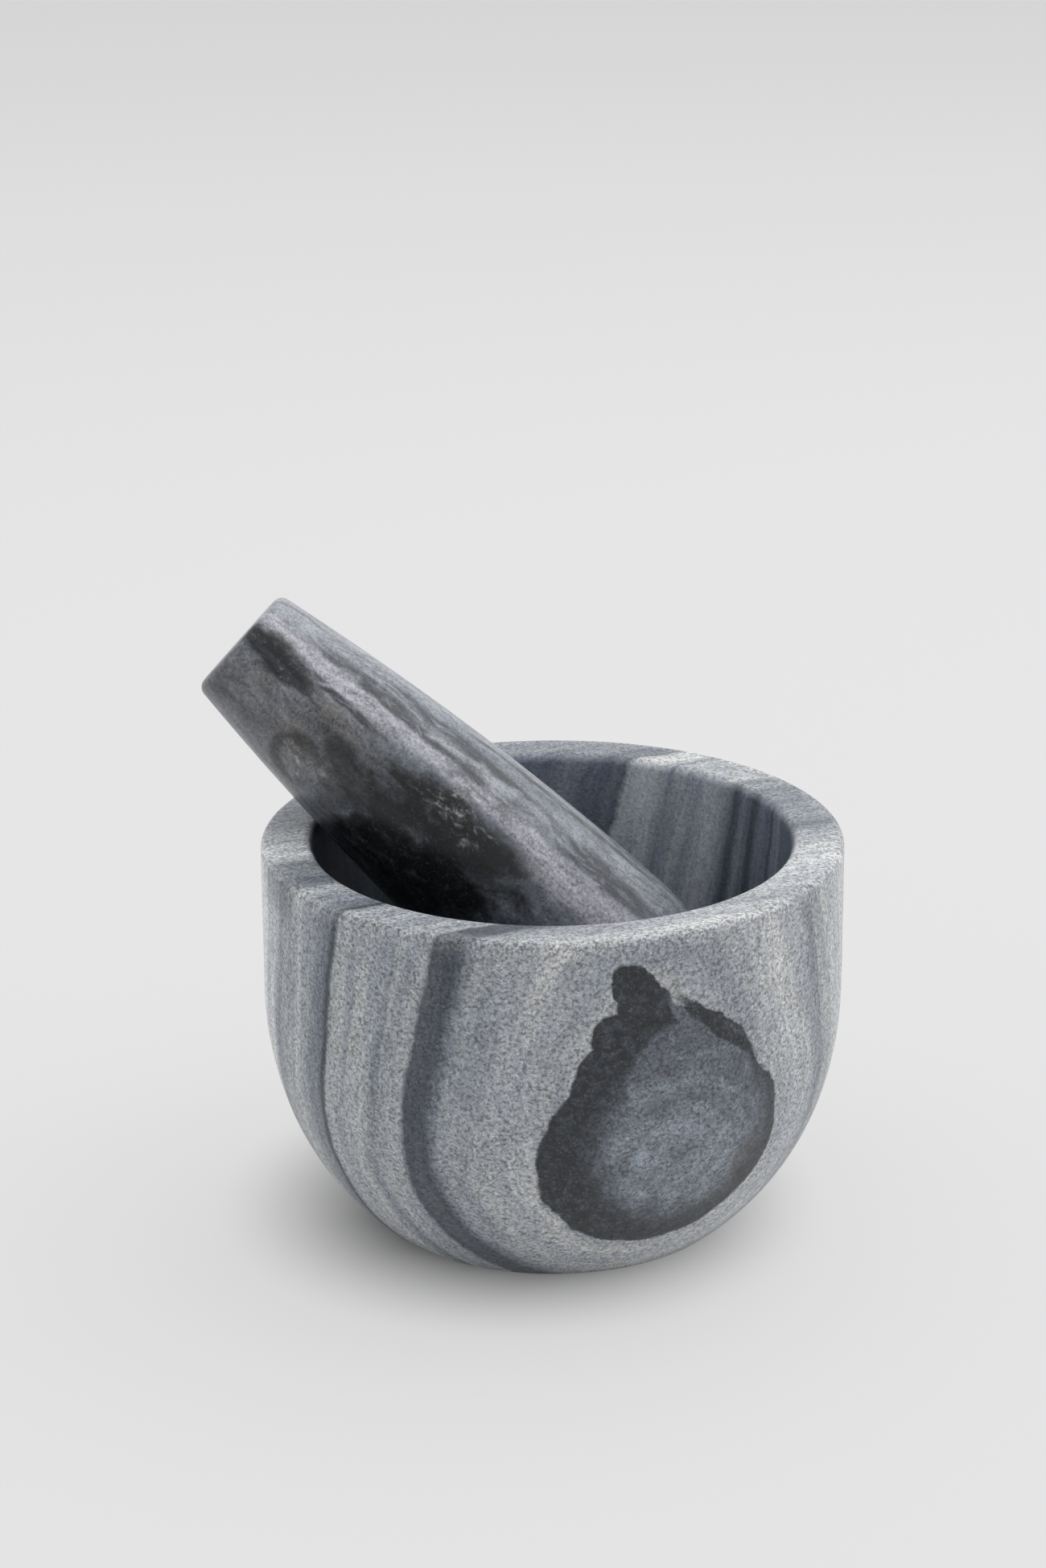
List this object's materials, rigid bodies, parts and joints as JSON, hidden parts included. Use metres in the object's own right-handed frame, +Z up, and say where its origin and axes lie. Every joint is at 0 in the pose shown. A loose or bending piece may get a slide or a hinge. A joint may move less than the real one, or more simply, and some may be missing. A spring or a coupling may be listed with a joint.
{
  "type": "mortar and pestle",
  "caption": "Round-bottomed turned stone mortar with a thick flat rim, and a loose club-shaped stone pestle leaning in it, in banded grey marble.",
  "frame": {"origin": "centre of the mortar's flat base, on the surface that it stands on", "axes": "+Z up along the mortar's axis of turning; the pestle's flat end points up towards -X and a little towards +Y"},
  "size_m": [0.1321, 0.12, 0.1291],
  "materials": {
    "mortar_marble": "honed, matt grey marble with dark slate bands and a salt-and-pepper grain",
    "pestle_marble": "smooth, half-polished dark grey marble with pale and near-black streaks"
  },
  "bodies": {
    "mortar": {"mortar": "mortar_marble"},
    "pestle": {"pestle": "pestle_marble"}
  },
  "joints": [
    {"name": "pestle_lift", "type": "slide", "parent": "mortar", "child": "pestle", "axis": [0, 0, 1], "range_m": [0, 0.075]}
  ]
}
